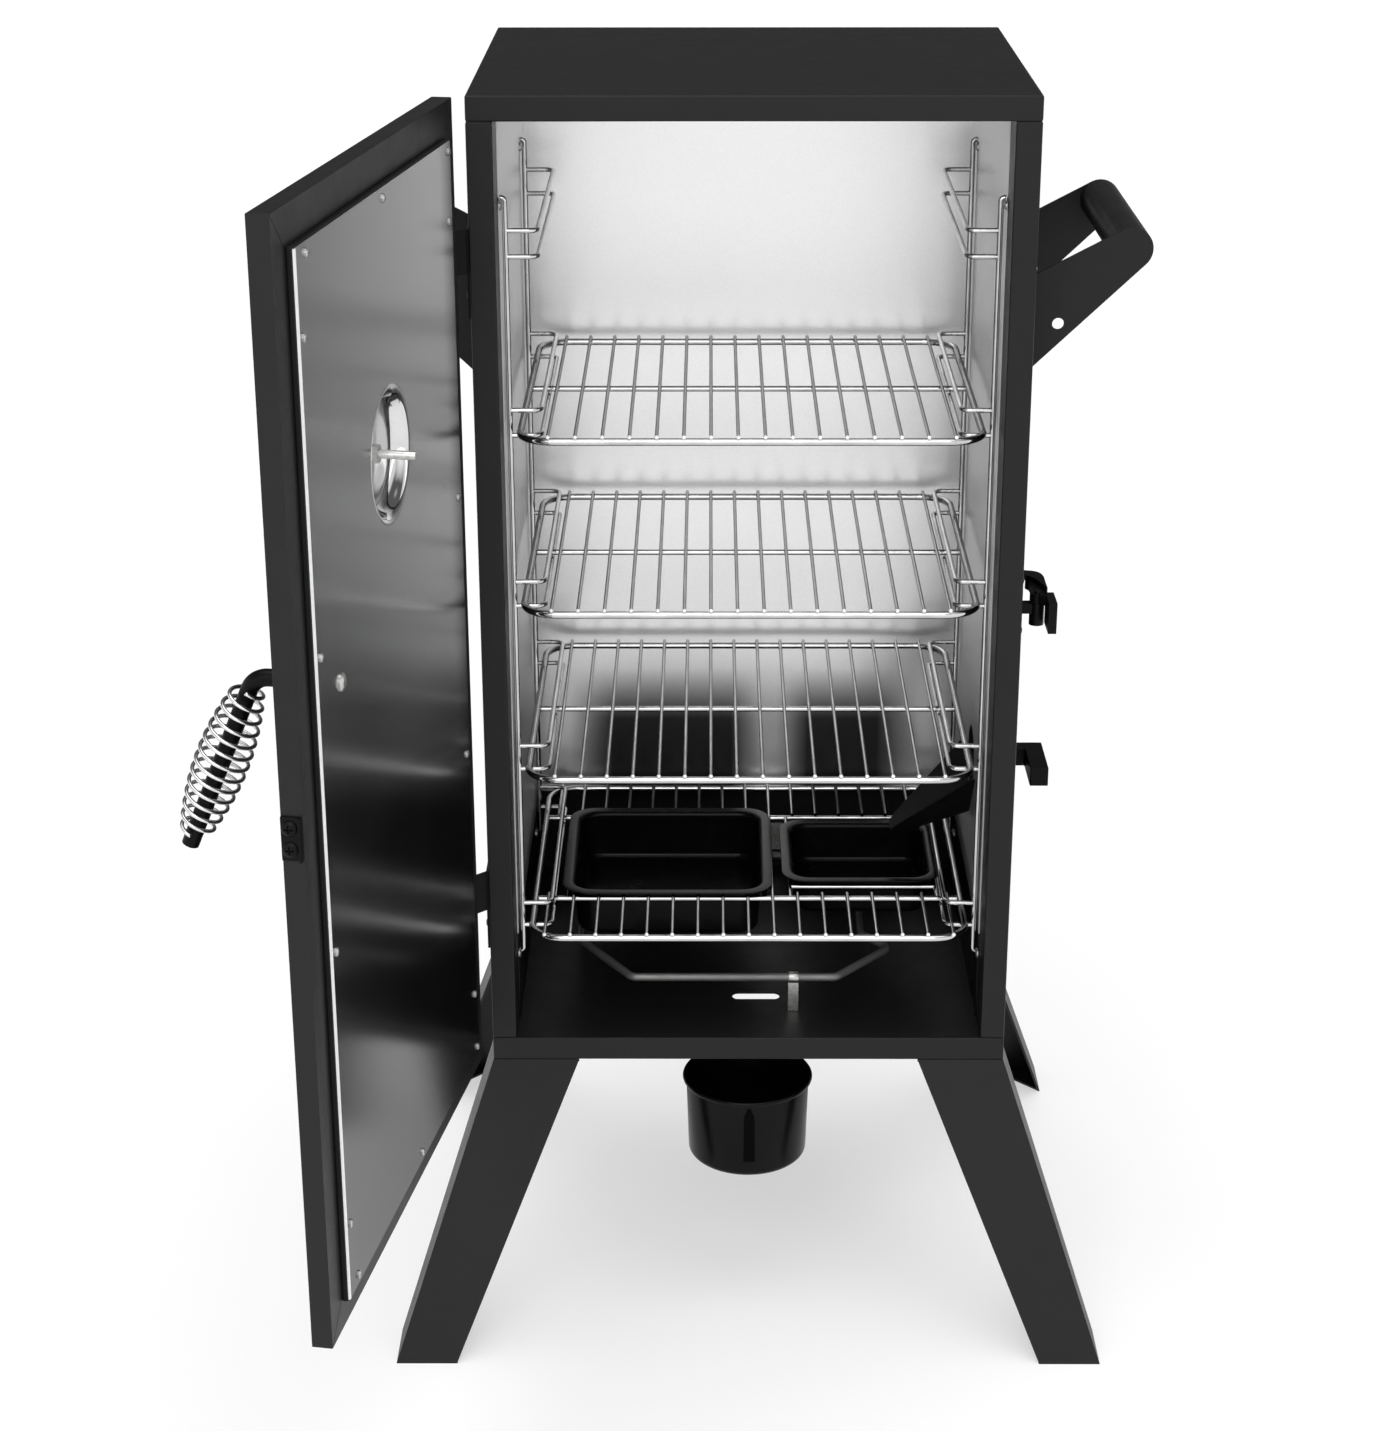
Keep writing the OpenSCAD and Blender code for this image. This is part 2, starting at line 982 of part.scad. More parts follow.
// The lever: a hub on the pin, a flat paddle outside it and a curved hook behind it.
module latch_lever() {
  paddle_x = [225, 231.4];
  low = latch_z + 17.8;
  mid = latch_z + 25.5;
  high = latch_z + 29;
  side = paddle_x[0] + 2;
  color("#222224")
    difference() {
      union() {
        block([paddle_x[0], yf, latch_z + 2.3], [paddle_x[1], yf + 27, latch_z + 26.6]);
        translate([latch_x, latch_y, low])
          cylinder(r = 5.8, h = mid - low);
        translate([0, 0, low])
          linear_extrude(mid - low)
            polygon([
              [latch_x, latch_y - 5.8],
              [side, yf + 19],
              [side, yf + 61],
              [213, yf + 61],
              [215.4, yf + 56],
              [216.2, yf + 46],
              [215.8, yf + 38],
              [latch_x - 5.7, latch_y + 1]
            ]);
        translate([0, 0, mid - 0.5])
          linear_extrude(high - mid + 0.5)
            polygon([
              [side, yf + 30],
              [side, yf + 58],
              [226, yf + 64],
              [224, yf + 68.4],
              [220, yf + 71.5],
              [214.1, yf + 73.1],
              [208, yf + 73.6],
              [208, yf + 60.7],
              [214, yf + 60.2],
              [218, yf + 56],
              [220.4, yf + 51.7]
            ]);
      }
      translate([latch_x, latch_y, low - 1])
        cylinder(r = 2.55, h = 40);
    }
}

// ---------- grease cup ----------

module cup_hanger() {
  web = 48.4;
  t = 1.4;
  y = [yf + 78, yf + 100];
  top = z0 + rail_h - shell_t;
  low = cup_z - 4.4;
  high = cup_z + 0.4;
  color("#2b2b2d")
    union() {
      for (x = [-web, web - t])
        block([x, y[0], low - t], [x + t, y[1], top]);
      block([-web, y[1] - t, low - t], [web, y[1], z0 - 10]);
      difference() {
        block([-web, y[0], low - t], [web, y[1], low]);
        translate([0, cup_y, low - 10])
          cylinder(r = cup_r + 1.5, h = 20, $fn = 96);
      }
      difference() {
        block([-web, y[0], high], [web, y[1], high + t]);
        translate([0, cup_y, high - 10])
          cylinder(r = cup_r - 2.3, h = 20, $fn = 96);
      }
    }
}

module grease_cup() {
  wall = 0.8;
  lip = 3;
  rim = cup_r + lip;
  foot_r = cup_r - 1.6;
  strip = 5;
  front = cup_y - rim;
  color("#141415")
    union() {
      translate([0, cup_y, cup_z - cup_h])
        rotate_extrude()
          polygon([
            [0, 0],
            [foot_r - 3, 0],
            [foot_r, 3],
            [cup_r, cup_h - 4],
            [rim, cup_h - 4],
            [rim, cup_h],
            [rim - wall, cup_h],
            [rim - wall, cup_h - 4 + wall],
            [cup_r - wall, cup_h - 4 + wall],
            [foot_r - wall, 3 + wall],
            [foot_r - 3 - wall, wall],
            [0, wall]
          ]);
      translate([0, front + 0.6, cup_z - 2])
        rotate([90, 0, 0])
          linear_extrude(1.4)
            polygon([
              [-1.5, 0],
              [-strip, -9],
              [-strip, -48],
              [strip, -48],
              [strip, -9],
              [1.5, 0]
            ]);
    }
}

// ---------- hinges ----------

// Knuckles of one leaf over the height h.
module knuckle(z, h) {
  translate([pin_x, pin_y, z])
    cylinder(r = knuckle_r, h = h);
}

module pin_bores() {
  for (z = hinge_z)
    translate([pin_x, pin_y, z - 1])
      cylinder(r = pin_r + 0.05, h = hinge_h + 2);
}

module cabinet_hinge_leaves() {
  t = 1.8;
  half = hinge_h / 2;
  color("#222224")
    difference() {
      for (z = hinge_z) {
        block([-xo - t, yf + 1, z], [-xo, yf + 30, z + hinge_h]);
        knuckle(z + half + 0.15, half - 0.15);
        translate([0, 0, z + half + 0.15])
          linear_extrude(half - 0.15)
            polygon([
              [-xo - t, yf + 3],
              [-xo - t, yf + 0.8],
              [pin_x + 1.2, pin_y + 3.4],
              [pin_x - 0.6, pin_y + 4.6]
            ]);
      }
      pin_bores();
    }
}

module hinge_pins() {
  color("#8d9095")
    for (z = hinge_z) {
      translate([pin_x, pin_y, z - 0.5])
        cylinder(r = pin_r, h = hinge_h + 0.5);
      translate([pin_x, pin_y, z + hinge_h])
        cylinder(r = 4, h = 2);
    }
}

// ---------- door, drawn closed ----------

module open_door() {
  translate([pin_x, pin_y, 0])
    rotate([0, 0, -door_open])
      translate([-pin_x, -pin_y, 0])
        children();
}

module through_door(x, z, r) {
  translate([x, door_yo - 5, z])
    rotate([-90, 0, 0])
      cylinder(r = r, h = 40);
}

module door_hinge_leaves() {
  t = 1.8;
  half = hinge_h / 2;
  color("#222224")
    open_door()
      difference() {
        for (z = hinge_z) {
          block([-xo - t, door_yo + 0.6, z], [-xo, door_yi - 0.4, z + hinge_h]);
          knuckle(z, half - 0.15);
          block([pin_x, pin_y - 1, z], [-xo, pin_y + 1, z + half - 0.15]);
        }
        pin_bores();
      }
}

module door_pan() {
  window_x = xo - door_flange;
  color("#2f2f31")
    open_door()
      difference() {
        block([-xo, door_yo, door_z0], [xo, door_yi, door_z1]);
        block(
          [-xo + skin_t, door_yo + skin_t, door_z0 + skin_t],
          [xo - skin_t, door_yi - skin_t, door_z1 - skin_t]
        );
        block(
          [-window_x, door_yi - 2, door_z0 + door_flange],
          [window_x, door_yi + 1, door_z1 - door_flange]
        );
        through_door(bolt_x, bolt_z, 4.1);
        through_door(gauge_x, gauge_z, 6.2);
        for (c = [[xo, door_z0, 45], [xo, door_z1, -45], [-xo, door_z0, -45], [-xo, door_z1, 45]])
          translate([c.x, door_yi, c.y])
            rotate([0, c.z, 0])
              cube([90, 1, 0.5], center = true);
      }
}

module door_inner_frame() {
  out = 1;
  reach = 20;
  x = plate_x + out;
  z = plate_z + [-out, out];
  color("#1a1a1b")
    open_door()
      difference() {
        block([-x, door_yi, z[0]], [x, plate_y, z[1]]);
        block(
          [-x + 1.2, door_yi - 1, z[0] + 1.2],
          [x - 1.2, plate_y - 1.2, z[1] - 1.2]
        );
        block(
          [-x + reach, door_yi - 1, z[0] + reach],
          [x - reach, plate_y + 1, z[1] - reach]
        );
        through_door(bolt_x, bolt_z, 4.1);
      }
}

module door_liner() {
  color("#c9ccd0")
    open_door()
      difference() {
        block([-plate_x, plate_y, plate_z[0]], [plate_x, plate_y + liner_t, plate_z[1]]);
        through_door(gauge_x, gauge_z, dish_r);
        through_door(bolt_x, bolt_z, 4.1);
      }
}

module door_insulation() {
  window_x = xo - door_flange;
  color("#d9c98a")
    open_door()
      difference() {
        block(
          [-window_x + 3, door_yo + skin_t + 0.3, door_z0 + door_flange + 3],
          [window_x - 3, plate_y - 1.7, door_z1 - door_flange - 3]
        );
        through_door(bolt_x, bolt_z, 7);
        through_door(gauge_x, gauge_z, dish_r + 2);
      }
}

module on_liner(x, z) {
  translate([x, plate_y + liner_t, z])
    rotate([-90, 0, 0])
      children();
}

module liner_screws() {
  side_x = plate_x - 9;
  side_z = [91.5, 291.5, 491.5, 691.5];
  row_x = [-172, -7.5, 157];
  row_z = [plate_z[0] + 7, plate_z[1] - 7];
  color("#a9acb1")
    open_door() {
      for (z = side_z)
        for (x = [-side_x, side_x])
          on_liner(x, z0 + z)
            screw(2.9, 2);
      for (x = row_x)
        for (z = row_z)
          on_liner(x, z)
            screw(2.9, 2);
    }
}

// ---------- door thermometer ----------

module about_gauge(y) {
  translate([gauge_x, y, gauge_z])
    rotate([-90, 0, 0])
      children();
}

// A shallow round dish pressed towards the outer skin.
module thermometer_seat() {
  ball = (dish_r * dish_r + dish_depth * dish_depth) / (2 * dish_depth);
  t = 0.8;
  color("#aeb1b5")
    open_door()
      difference() {
        intersection() {
          about_gauge(plate_y + liner_t - dish_depth + ball)
            sphere(r = ball, $fn = 96);
          about_gauge(plate_y - 30)
            cylinder(r = dish_r - 0.1, h = 30 + liner_t);
        }
        about_gauge(plate_y + liner_t - dish_depth + ball)
          sphere(r = ball - t, $fn = 96);
        about_gauge(door_yo)
          cylinder(r = 5.2, h = 60);
      }
}

module thermometer_stem() {
  nut_y = plate_y + liner_t - dish_depth + 1.2;
  color("#b9bbbf")
    open_door()
      union() {
        about_gauge(door_yo - 0.5)
          cylinder(r = 5, h = nut_y + 4 - door_yo);
        about_gauge(nut_y)
          cylinder(r = 6.5, h = 4, $fn = 6);
        about_gauge(nut_y)
          cylinder(r = 3, h = 29);
      }
}

case_r = 38;
case_h = 10;
dial_y = door_yo - case_h + 5;
post_r = 1.5;

module thermometer_case() {
  color("#c4c6ca")
    open_door()
      difference() {
        about_gauge(door_yo - case_h)
          cylinder(r = case_r, h = case_h);
        about_gauge(door_yo - case_h - 1)
          cylinder(r = case_r - 2.5, h = case_h - 1);
        about_gauge(door_yo - 3)
          cylinder(r = 5.1, h = 8);
      }
}

module thermometer_dial() {
  color("#f0f0ee")
    open_door()
      union() {
        about_gauge(dial_y)
          cylinder(r = case_r - 2.6, h = 0.8);
        about_gauge(dial_y - 2.4)
          cylinder(r = post_r, h = 2.6);
      }
}

module thermometer_needle() {
  hub = 3;
  color("#a01818")
    open_door()
      about_gauge(dial_y - 1.8)
        difference() {
          union() {
            cylinder(r = hub, h = 1.2);
            linear_extrude(0.8)
              polygon([
                [-1.6, 0],
                [0, 27],
                [1.6, 0],
                [1.1, -10],
                [-1.1, -10]
              ]);
          }
          translate([0, 0, -1])
            cylinder(r = post_r + 0.05, h = 4);
        }
}

module thermometer_lens() {
  color("#dfe8ee", 0.35)
    open_door()
      about_gauge(dial_y - 4.6)
        cylinder(r = case_r - 2.6, h = 1.2);
}

// ---------- door handle ----------

grip_top = [51.9, bolt_z];
grip_end = [102.2, bolt_z - 119];

// The bent rod, drawn as [outward from the inner side of the door, up].
module handle_rod() {
  color("#1c1c1e")
    open_door()
      translate([bolt_x, door_yi, 0])
        difference() {
          rotate([90, 0, -90])
            union() {
              wire([[door_t, bolt_z], grip_top, grip_end], 5.8, 14, lap = 0.4);
              translate([door_t, bolt_z, 0])
                rotate([0, 90, 0])
                  cylinder(r = 9, h = 2);
            }
          translate([0, -door_t + 1, bolt_z])
            rotate([90, 0, 0])
              cylinder(r = 4.1, h = 14);
        }
}

module handle_bolt() {
  color("#a9acb1")
    open_door()
      translate([bolt_x, 0, bolt_z])
        rotate([90, 0, 0])
          union() {
            translate([0, 0, -plate_y - liner_t - 2.6])
              screw_head();
            translate([0, 0, -plate_y - liner_t])
              cylinder(r = 4, h = plate_y + liner_t - door_yo + 12);
          }
}

module screw_head() {
  intersection() {
    cylinder(r = 6, h = 2.6);
    translate([0, 0, 9])
      sphere(r = 9.6);
  }
}

// The barrel-shaped wire grip round the lower leg of the rod.
module handle_spring() {
  turns = 13;
  per_turn = 22;
  sides = 7;
  coil_r = 1.4;
  end_r = 9;
  mid_r = 16.8;
  dir = unit(grip_end - grip_top);
  from = grip_top + dir * 9;
  long = 110;
  steps = turns * per_turn;
  lean = atan2(dir.x, -dir.y);
  ring = [
    for (i = [0 : steps])
      let (
        f = i / steps,
        a = 360 * i / per_turn,
        r = end_r + (mid_r - end_r) * pow(sin(180 * f), 0.8)
      )
      for (k = [0 : sides - 1])
        let (b = 360 * k / sides, w = r + coil_r * cos(b))
        [w * cos(a), w * sin(a), -f * long + coil_r * sin(b)]
  ];
  quads = [
    for (i = [0 : steps - 1])
      for (k = [0 : sides - 1])
        let (m = (k + 1) % sides)
        [i * sides + k, i * sides + m, (i + 1) * sides + m, (i + 1) * sides + k]
  ];
  caps = [
    [for (k = [0 : sides - 1]) sides - 1 - k],
    [for (k = [0 : sides - 1]) steps * sides + k]
  ];
  color("#b9bbbf")
    open_door()
      translate([bolt_x, door_yi - from.x, from.y])
        rotate([-lean, 0, 0])
          polyhedron(points = ring, faces = concat(quads, caps));
}

// ---------- door catch ----------

module catch_plate() {
  t = 1.6;
  color("#2b2b2d")
    open_door()
      union() {
        block([xo, door_yo, z0 + 370.6], [xo + t, door_yi - 1, z0 + 400.1]);
        block([xo, door_yi - 2.4, z0 + 370.6], [xo + 4.5, door_yi - 1, z0 + 400.1]);
      }
}

module catch_screws() {
  color("#2b2b2d")
    open_door()
      for (z = [378.2, 392.4])
        translate([xo + 1.6, door_yi - 8.6, z0 + z])
          rotate([0, 90, 0])
            screw(5.2, 2.6);
}

// ---------- output ----------

side_panel_left();
side_panel_right();
rear_panel();
top_cap();
base_pan();
liner_left();
liner_right();
liner_rear();
liner_ceiling();
lower_liner();
insulation();
leg_front_left();
leg_front_right();
leg_rear_left();
leg_rear_right();
leg_bolts();
rack_support_left();
rack_support_right();
support_screws();
heating_element();
element_clip();
element_flange();
terminal_box();
power_inlet();
chip_chute();
loader_sleeve();
side_handle_left();
side_handle_right();
body_screws();
latch_bracket();
cabinet_hinge_leaves();
hinge_pins();
cup_hanger();
door_pan();
door_inner_frame();
door_liner();
door_insulation();
liner_screws();
thermometer_seat();
thermometer_case();
thermometer_dial();
thermometer_lens();
thermometer_stem();
thermometer_needle();
handle_rod();
handle_spring();
handle_bolt();
door_hinge_leaves();
catch_plate();
catch_screws();
upper_grate();
middle_grate();
lower_grate();
pan_rack();
water_pan();
chip_tray();
latch_lever();
loader_scoop();
loader_handle();
grease_cup();
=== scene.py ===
import math

import bmesh
import bpy
from mathutils import Matrix, Vector


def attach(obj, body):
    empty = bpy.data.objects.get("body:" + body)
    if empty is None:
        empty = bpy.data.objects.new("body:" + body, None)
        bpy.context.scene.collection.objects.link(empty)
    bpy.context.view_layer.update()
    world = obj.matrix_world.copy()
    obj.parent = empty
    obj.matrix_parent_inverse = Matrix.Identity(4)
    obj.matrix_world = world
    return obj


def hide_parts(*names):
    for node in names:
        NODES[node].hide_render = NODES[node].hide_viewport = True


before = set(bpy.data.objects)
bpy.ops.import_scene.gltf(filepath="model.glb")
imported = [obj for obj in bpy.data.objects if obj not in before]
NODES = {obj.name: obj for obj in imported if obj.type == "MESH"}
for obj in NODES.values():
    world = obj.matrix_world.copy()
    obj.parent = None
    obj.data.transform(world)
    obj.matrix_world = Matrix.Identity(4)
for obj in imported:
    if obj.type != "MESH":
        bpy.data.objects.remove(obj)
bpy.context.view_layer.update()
scene = bpy.context.scene
MM = 0.001

# ---------------------------------------------------------------- the object's own numbers

FRONT_Y = -0.171                   # front plane of the cabinet
BASE_Z = 0.235                     # underside of the base
DOOR_OPEN = math.radians(99.7)
PIN = Vector((-0.2186, FRONT_Y - 0.0125, 0.0))
DOOR_IN_Y = FRONT_Y - 0.003        # inner plane of the door when it is closed
PLATE_Y = DOOR_IN_Y + 0.004
LINER_T = 0.001
PLATE_X = 0.178                    # half width of the door liner
PLATE_Z = (BASE_Z + 0.0375, BASE_Z + 0.7465)
GAUGE = (-0.002, BASE_Z + 0.5715)  # x and z of the door thermometer
BOLT = (0.130, BASE_Z + 0.461)     # x and z of the door handle's bolt
ROD_Y = (FRONT_Y + 0.043, FRONT_Y + 0.282)
ROD_TOP_Z = BASE_Z + 0.687
LEVEL_0_Z = BASE_Z + 0.0995        # rest height of the pan rack, and the step up to each grate
LEVEL_STEP = 0.136
CUP_Y = FRONT_Y + 0.043
CUP_RIM_Z = BASE_Z - 0.035
DOOR_TURN = (
    Matrix.Translation(PIN) @ Matrix.Rotation(-DOOR_OPEN, 4, "Z") @ Matrix.Translation(-PIN)
)


# ---------------------------------------------------------------- camera

def make_camera():
    pitch, yaw, roll = math.radians(21.476), -0.0039258, -0.001018
    level = Vector((math.sin(yaw), math.cos(yaw), 0.0))
    fwd = level * math.cos(pitch) - Vector((0.0, 0.0, math.sin(pitch)))
    right = Vector((math.cos(yaw), -math.sin(yaw), 0.0))
    up = right.cross(fwd)
    right, up = (
        math.cos(roll) * right + math.sin(roll) * up,
        -math.sin(roll) * right + math.cos(roll) * up,
    )
    data = bpy.data.cameras.new("camera")
    data.sensor_width = 36.0
    data.lens = 71.65
    data.clip_start = 0.05
    data.clip_end = 60.0
    obj = bpy.data.objects.new("camera", data)
    scene.collection.objects.link(obj)
    turn = Matrix((right, up, -fwd)).transposed().to_4x4()
    obj.matrix_world = Matrix.Translation((-0.03146, -2.20294, 1.33187)) @ turn
    scene.camera = obj


make_camera()


# ---------------------------------------------------------------- material helpers

class Nodes:
    """A small wrapper that adds and links shader nodes."""

    def __init__(self, tree):
        self.tree = tree
        tree.nodes.clear()

    def add(self, kind, inputs=None, **settings):
        node = self.tree.nodes.new(kind)
        for name, value in settings.items():
            setattr(node, name, value)
        for name, value in (inputs or {}).items():
            self.set(node, name, value)
        return node

    def set(self, node, name, value):
        socket = node.inputs[name]
        if isinstance(value, bpy.types.NodeSocket):
            self.tree.links.new(value, socket)
        elif isinstance(value, bpy.types.Node):
            self.tree.links.new(value.outputs[0], socket)
        else:
            socket.default_value = value

    def coords(self, stretch=(1, 1, 1)):
        where = self.add("ShaderNodeTexCoord")
        return self.add("ShaderNodeMapping", {"Vector": where.outputs["Object"], "Scale": stretch})

    def place(self, node):
        """World x, y and z at rest, as values, on a CAD node of this name."""
        rest = NODES[node].matrix_world
        where = self.add("ShaderNodeTexCoord").outputs["Object"]
        moved = self.add("ShaderNodeMapping", {
            "Vector": where, "Location": rest.to_translation(), "Rotation": rest.to_euler(),
        })
        return self.add("ShaderNodeSeparateXYZ", {"Vector": moved}).outputs

    def noise(self, vector, scale, detail=3.0, rough=0.55):
        return self.add(
            "ShaderNodeTexNoise",
            {"Vector": vector, "Scale": scale, "Detail": detail, "Roughness": rough},
        ).outputs["Fac"]

    def spread(self, value, low, high, start=0.3, end=0.7):
        return self.add(
            "ShaderNodeMapRange",
            {"Value": value, "From Min": start, "From Max": end, "To Min": low, "To Max": high},
        ).outputs["Result"]

    def window(self, value, a, b, c, d):
        """One between b and c, falling to zero at a and d."""
        up = self.spread(value, 0.0, 1.0, a, b)
        return self.math("MULTIPLY", up, self.spread(value, 1.0, 0.0, c, d))

    def blend(self, factor, a, b, mode="MIX"):
        node = self.add("ShaderNodeMix", data_type="RGBA", blend_type=mode)
        self.set(node, 0, factor)
        self.set(node, 6, a)
        self.set(node, 7, b)
        return node.outputs[2]

    def mottle(self, vector, scale, low, high, detail=3.0):
        """A colour that drifts between two tones."""
        return self.blend(self.spread(self.noise(vector, scale, detail), 0.0, 1.0), low, high)

    def math(self, operation, a, b=0.0):
        node = self.add("ShaderNodeMath", operation=operation)
        self.set(node, 0, a)
        self.set(node, 1, b)
        return node.outputs[0]

    def bump(self, height, distance, strength=1.0, normal=None):
        inputs = {"Height": height, "Distance": distance, "Strength": strength}
        if normal is not None:
            inputs["Normal"] = normal
        return self.add("ShaderNodeBump", inputs).outputs["Normal"]


def grey(v, warm=0.0):
    return (v * (1 + warm), v, v * (1 - warm), 1.0)


MATERIALS = {}


def material(name):
    """Gives a decorated builder its own material, made once."""
    def wrap(build):
        mat = bpy.data.materials.new(name)
        mat.use_nodes = True
        n = Nodes(mat.node_tree)
        out = n.add("ShaderNodeOutputMaterial")
        shader = n.add("ShaderNodeBsdfPrincipled")
        n.set(out, "Surface", shader.outputs["BSDF"])
        build(n, shader)
        MATERIALS[name] = mat
        return build
    return wrap


def powder(n, s, dark, light, rough, peel, level):
    """Powder coat: two near blacks in soft clouds, orange peel, and fine dust in the gloss."""
    at = n.coords()
    clouds = n.noise(at, 7.0, 4.0)
    peel_noise = n.noise(at, 620.0, 2.0)
    slow_peel = n.noise(at, 210.0, 1.0)
    dust = n.noise(at, 38.0, 5.0, 0.65)
    n.set(s, "Base Color", n.blend(n.spread(clouds, 0.0, 1.0), dark, light))
    n.set(s, "Roughness", n.spread(dust, rough[0], rough[1]))
    n.set(s, "Specular IOR Level", level)
    first = n.bump(slow_peel, 0.00025, peel)
    n.set(s, "Normal", n.bump(peel_noise, 0.00012, peel, first))


@material("powder_black")
def _(n, s):
    powder(n, s, grey(0.0056), grey(0.0070), (0.42, 0.50), 0.30, 0.25)


@material("powder_door")
def _(n, s):
    powder(n, s, grey(0.0064), grey(0.0080), (0.38, 0.46), 0.30, 0.28)


@material("cast_black")
def _(n, s):
    powder(n, s, grey(0.0026), grey(0.0042), (0.30, 0.42), 0.4, 0.10)


@material("heat_black")
def _(n, s):
    powder(n, s, grey(0.0022), grey(0.0036), (0.36, 0.48), 0.3, 0.20)


@material("enamel_black")
def _(n, s):
    at = n.coords()
    flow = n.noise(at, 26.0, 2.0)
    pits = n.noise(at, 900.0, 1.0)
    n.set(s, "Base Color", n.mottle(at, 14.0, grey(0.0016), grey(0.0030)))
    n.set(s, "Roughness", n.spread(n.noise(at, 60.0, 4.0), 0.18, 0.28))
    n.set(s, "Specular IOR Level", 0.12)
    n.set(s, "Normal", n.bump(pits, 0.00005, 0.3, n.bump(flow, 0.0006, 0.35)))


def brushed(n, s, low, high, rough, grain_axis, grain, wave, stain_and_painted_shade=None):
    """Rolled bright sheet: fine grain one way, a very soft waviness, and a fine sparkle.

    The last argument is the share of its colour that the sheet keeps, from 0 to 1, where painted
    shade darkens it."""
    stretch = [1.0, 1.0, 1.0]
    stretch[grain_axis] = 0.06
    at = n.coords()
    along = n.coords(tuple(stretch))
    fine = n.noise(along, 1300.0, 2.0, 0.6)
    sparkle = n.noise(at, 700.0, 2.0, 0.6)
    cloud = n.noise(at, 6.0, 4.0, 0.6)
    tone = n.math("ADD", n.math("MULTIPLY", sparkle, 0.6), n.math("MULTIPLY", cloud, 0.4))
    colour = n.blend(n.spread(tone, 0.0, 1.0), low, high)
    # painted shade: where the caller passes a mask, the sheet is darkened toward black
    if stain_and_painted_shade is not None:
        colour = n.blend(stain_and_painted_shade, grey(0.0), colour)
    n.set(s, "Base Color", colour)
    n.set(s, "Metallic", 1.0)
    n.set(s, "Roughness", n.spread(tone, rough[0], rough[1]))
    waves = n.bump(n.noise(at, 2.2, 1.0), wave, 0.5)
    grained = n.bump(fine, 0.00002, grain, waves)
    n.set(s, "Normal", n.bump(sparkle, 0.00001, grain, grained))


@material("liner_bright")
def _(n, s):
    brushed(n, s, grey(0.78), grey(0.86), (0.23, 0.28), 2, 0.15, 0.0006)


@material("rear_liner_bright")
def _(n, s):
    # two dark patches low down, which stand in for the deep reflection of the two pans
    x, _y, z = n.place("liner_rear")
    behind_water_pan = n.window(x, -0.156, -0.118, -0.012, 0.014)
    behind_chip_tray = n.window(x, 0.028, 0.056, 0.118, 0.154)
    behind = n.math("ADD", behind_water_pan, behind_chip_tray)
    low = n.spread(z, 1.0, 0.0, BASE_Z + 0.164, BASE_Z + 0.212)
    kept = n.math("SUBTRACT", 1.0, n.math("MULTIPLY", n.math("MULTIPLY", behind, low), 0.91))
    brushed(n, s, grey(0.78), grey(0.86), (0.28, 0.33), 2, 0.06, 0.0005, kept)


@material("side_liner_bright")
def _(n, s):
    # painted shade: a darker copy of the bright liner, for the side walls
    brushed(n, s, grey(0.58), grey(0.66), (0.36, 0.44), 2, 0.15, 0.0006)


@material("painted_highlight_white")
def _(n, s):
    # painted highlight: a flat white that stands in for the glint on the wire ends and on the door
    # liner's cut edge
    at = n.coords()
    n.set(s, "Metallic", 0.0)
    n.set(s, "Base Color", n.mottle(at, 300.0, grey(0.90), grey(0.97)))
    n.set(s, "Roughness", n.spread(n.noise(at, 500.0, 3.0), 0.30, 0.45))
    n.set(s, "Normal", n.bump(n.noise(at, 1500.0, 2.0), 0.00002, 0.3))


@material("door_liner_bright")
def _(n, s):
    # painted shade: a darker tone than the cabinet's bright liner, darker still low down and next
    # to the hinges
    _x, y, z = n.place("door_liner")
    low = n.spread(z, 0.10, 1.0, BASE_Z, BASE_Z + 0.40)
    kept = n.math("MULTIPLY", low, n.spread(y, 1.0, 0.25, -0.256, -0.224))
    brushed(n, s, grey(0.35), grey(0.43), (0.16, 0.21), 0, 0.25, 0.0010, kept)


@material("dish_bright")
def _(n, s):
    brushed(n, s, grey(0.64), grey(0.72), (0.07, 0.11), 2, 0.05, 0.0001)


def chrome(n, s, edge):
    """Bright plated wire; edge is how much light it gives back at a glancing angle."""
    at = n.coords()
    n.set(s, "Metallic", 1.0)
    n.set(s, "Base Color", n.mottle(at, 40.0, grey(0.48), grey(0.62)))
    n.set(s, "Roughness", n.spread(n.noise(at, 120.0, 3.0), 0.08, 0.15))
    n.set(s, "Specular Tint", grey(edge))
    n.set(s, "Normal", n.bump(n.noise(at, 700.0, 2.0), 0.00006, 0.25))


@material("chrome_wire")
def _(n, s):
    # painted shade: the glancing edge is darkened, giving the wires dark outlines
    chrome(n, s, 0.30)


@material("chrome_rod")
def _(n, s):
    # less painted shade at the glancing edge than the grate wires, so the rods in shade read
    # lighter
    chrome(n, s, 0.75)


@material("zinc")
def _(n, s):
    at = n.coords()
    n.set(s, "Metallic", 1.0)
    n.set(s, "Base Color", n.mottle(at, 300.0, (0.42, 0.42, 0.40, 1), (0.58, 0.58, 0.57, 1)))
    n.set(s, "Roughness", n.spread(n.noise(at, 500.0, 3.0), 0.25, 0.42))
    n.set(s, "Normal", n.bump(n.noise(at, 1200.0, 2.0), 0.00004, 0.4))


@material("element_grey")
def _(n, s):
    at = n.coords()
    stain_and_painted_shade = n.spread(n.noise(at, 9.0, 4.0), 0.0, 1.0)
    n.set(s, "Metallic", 0.7)
    n.set(s, "Base Color", n.blend(stain_and_painted_shade, (0.13, 0.13, 0.132, 1), (0.22, 0.215, 0.21, 1)))
    n.set(s, "Roughness", n.spread(n.noise(at, 90.0, 4.0), 0.34, 0.52))
    n.set(s, "Normal", n.bump(n.noise(at, 900.0, 2.0), 0.00006, 0.4))


